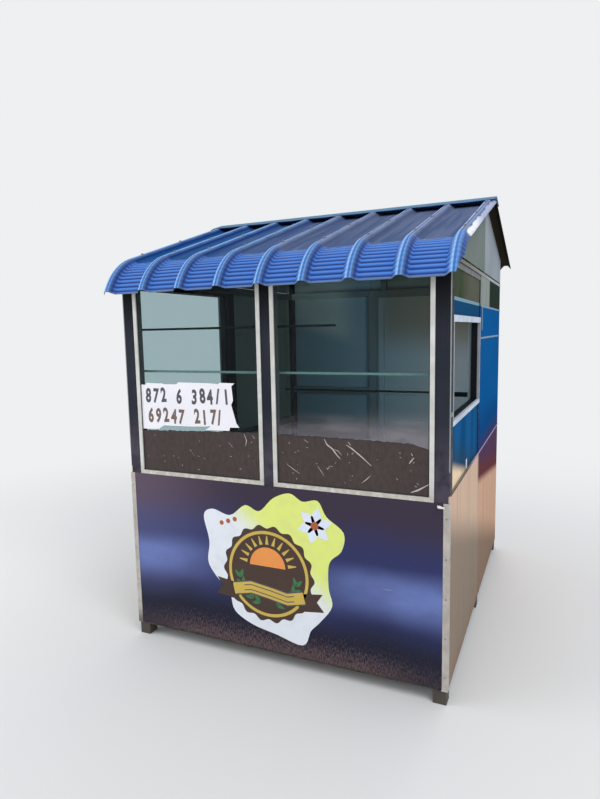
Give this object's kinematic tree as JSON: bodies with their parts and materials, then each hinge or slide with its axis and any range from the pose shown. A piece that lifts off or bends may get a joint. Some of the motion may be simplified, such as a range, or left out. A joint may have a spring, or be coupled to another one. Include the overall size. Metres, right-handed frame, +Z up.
{
  "type": "street kiosk",
  "caption": "Free-standing street food kiosk with a bullnose ribbed roof, glazed front, side serving hatch, clad walls and a hinged rear door.",
  "frame": {"origin": "ground level, under the middle of the roof seen from above", "axes": "+X to the right of the glazed front, +Y to the rear door, +Z up"},
  "size_m": [1.628, 2.0832, 2.1528],
  "materials": {
    "post_dark": "satin, chalked",
    "frame_white": "semi-gloss, worn",
    "frame_grey": "satin",
    "glass_clear": "clear",
    "glass_blue": "film faced",
    "panel_front": "printed film",
    "panel_silver": "brushed, faced sheet",
    "panel_blue": "gloss",
    "panel_inner": "satin",
    "roof_blue": "gloss, chalked on top",
    "ridge_blue": "weathered",
    "trim_metal": "mill",
    "deck": "worn board",
    "foot": "worn",
    "hinge_steel": "zinc plated"
  },
  "bodies": {
    "cabin": {"feet": "foot", "base_frame": "frame_grey", "floor_deck": "deck", "post_front_left": "post_dark", "post_front_right": "post_dark", "post_rear_left": "post_dark", "post_rear_right": "post_dark", "front_mullion": "post_dark", "side_posts": "frame_grey", "door_post": "frame_grey", "front_sill_rail": "post_dark", "side_sill_rails": "frame_grey", "rear_mid_rail": "frame_grey", "front_top_rail": "post_dark", "rear_top_rail": "frame_grey", "side_top_rails": "frame_grey", "front_lower_panel": "panel_front", "left_lower_panels": "panel_silver", "right_lower_panels": "panel_silver", "rear_wall_panels": "panel_inner", "rear_top_panel": "panel_silver", "right_rear_panels": "panel_blue", "left_rear_panels": "panel_blue", "side_trims": "trim_metal", "corner_covers": "post_dark", "front_trims": "trim_metal", "front_window_frames": "frame_white", "front_glass_right": "glass_clear", "front_glass_left": "glass_clear", "left_window_frame": "frame_white", "left_window_glass": "glass_clear", "hatch_frame": "frame_white", "right_side_glass": "glass_blue", "roof_front": "roof_blue", "roof_rear": "roof_blue", "ridge_cap": "ridge_blue", "gable_right": "panel_silver", "gable_left": "panel_silver", "ridge_beam": "frame_grey", "rafters": "frame_grey", "roof_studs": "frame_grey", "display_rail": "trim_metal", "hanging_rod": "post_dark", "door_stops": "frame_grey", "door_hinge_pins": "hinge_steel"},
    "door": {"door_frame": "frame_grey", "door_panels": "panel_inner", "door_hinge_leaves": "hinge_steel", "door_handle": "hinge_steel"}
  },
  "joints": [
    {"name": "rear_door_hinge", "type": "hinge", "parent": "cabin", "child": "door", "pos_m": [0.7005, 0.87563, 0.9], "axis": [0, 0, -1], "range_deg": [0, 110]}
  ]
}
